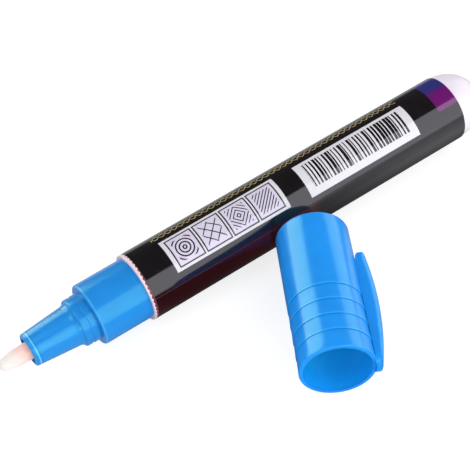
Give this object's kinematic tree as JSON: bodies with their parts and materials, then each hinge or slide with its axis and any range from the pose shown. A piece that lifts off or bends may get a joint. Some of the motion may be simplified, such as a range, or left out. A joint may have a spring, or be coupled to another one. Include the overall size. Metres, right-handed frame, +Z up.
{
  "type": "queen bee marker",
  "caption": "Round paint marker for marking queen bees, with a printed barrel, a sprung felt nib over a valve, and a pull-off cap with a clip lying beside it.",
  "frame": {"origin": "on the table under the middle of the pen and its cap", "axes": "+X along the pen towards its rear end, +Y away from the cap, +Z up"},
  "size_m": [0.1266, 0.056, 0.0159],
  "materials": {
    "white_plastic": "gloss",
    "printed_film": "gloss",
    "blue_plastic": "gloss",
    "felt": "matt",
    "clear_plastic": "satin",
    "liner_plastic": "satin",
    "steel": "polished"
  },
  "bodies": {
    "pen": {"barrel": "white_plastic", "film_sleeve": "printed_film", "front_section": "blue_plastic", "valve_body": "clear_plastic", "spring_retainer": "clear_plastic", "valve_spring": "steel"},
    "nib": {"nib": "felt", "valve_stem": "liner_plastic"},
    "mixing_ball": {"mixing_ball": "steel"},
    "cap": {"cap_shell": "blue_plastic", "cap_liner": "liner_plastic"}
  },
  "joints": [
    {"name": "nib_press", "type": "slide", "parent": "pen", "child": "nib", "axis": [1, 0, 0], "range_m": [0, 0.002], "stiffness_N_per_m": 300, "springref_m": -0.002, "deforming": ["valve_spring"]},
    {"name": "ball_run", "type": "slide", "parent": "pen", "child": "mixing_ball", "axis": [1, 0, 0], "range_m": [-0.0065, 0.061]},
    {"name": "cap_pull", "type": "slide", "parent": "pen", "child": "cap", "axis": [-0.4695, -0.8829, 0], "range_m": [0, 0.06]}
  ]
}
